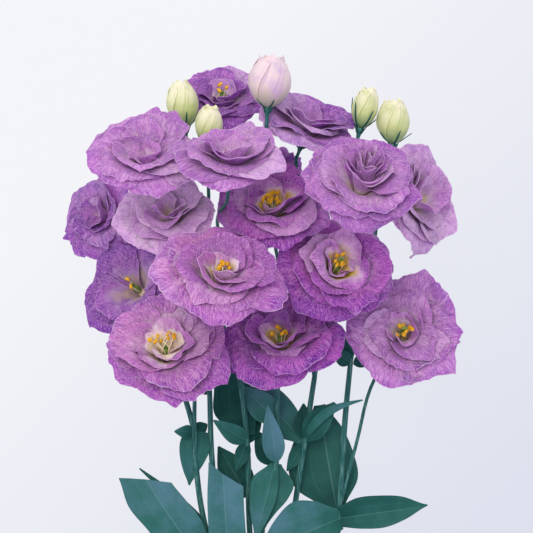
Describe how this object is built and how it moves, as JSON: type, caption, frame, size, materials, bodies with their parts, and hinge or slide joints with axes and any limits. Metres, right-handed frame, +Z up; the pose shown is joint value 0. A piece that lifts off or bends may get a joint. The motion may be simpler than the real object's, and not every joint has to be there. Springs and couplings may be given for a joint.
{
  "type": "lisianthus flower bunch",
  "caption": "Tied bunch of cut double lisianthus in mauve and violet, lying on its back, with frilled blooms, closed buds and leafy branched stems.",
  "frame": {"origin": "middle of the bunch's outline seen from above, on the surface that it lies on", "axes": "+X to the right of the bunch, +Y along the stems towards the flower heads, +Z up, the side that the flowers face"},
  "size_m": [0.2868, 0.5478, 0.1651],
  "materials": {
    "petal_mauve": "satin, finely veined",
    "petal_pink": "satin, finely veined",
    "petal_violet": "satin, finely veined",
    "petal_magenta": "satin, finely veined",
    "bud_green": "satin",
    "bud_blush": "satin",
    "stamen": "powdery",
    "stem_leaf": "waxy, matt bloom",
    "tie": "matt fibre"
  },
  "bodies": {
    "root": {"bloom_upper_left": "petal_mauve", "bloom_far_left": "petal_violet", "bloom_mid_left": "petal_mauve", "bloom_left_trumpet": "petal_violet", "bloom_lower_left": "petal_pink", "bloom_front": "petal_pink", "bloom_centre": "petal_magenta", "bloom_spiral": "petal_magenta", "bloom_lower_middle": "petal_magenta", "bloom_lower_right": "petal_mauve", "bloom_upper_right": "petal_mauve", "bloom_far_right": "petal_mauve", "bloom_top_right": "petal_violet", "bloom_top_left": "petal_violet", "bloom_top_middle": "petal_mauve", "bloom_hidden": "petal_violet", "bud_left": "bud_green", "bud_left_small": "bud_green", "bud_top": "bud_blush", "bud_right_slim": "bud_green", "bud_right": "bud_green", "tie": "tie", "stamens_left_trumpet": "stamen", "stamens_lower_left": "stamen", "stamens_front": "stamen", "stamens_centre": "stamen", "stamens_spiral": "stamen", "stamens_lower_middle": "stamen", "stamens_lower_right": "stamen", "stamens_top_left": "stamen", "stem_left": "stem_leaf", "stem_left_inner": "stem_leaf", "stem_middle": "stem_leaf", "stem_middle_right": "stem_leaf", "stem_right_inner": "stem_leaf", "stem_right": "stem_leaf"}
  },
  "joints": []
}
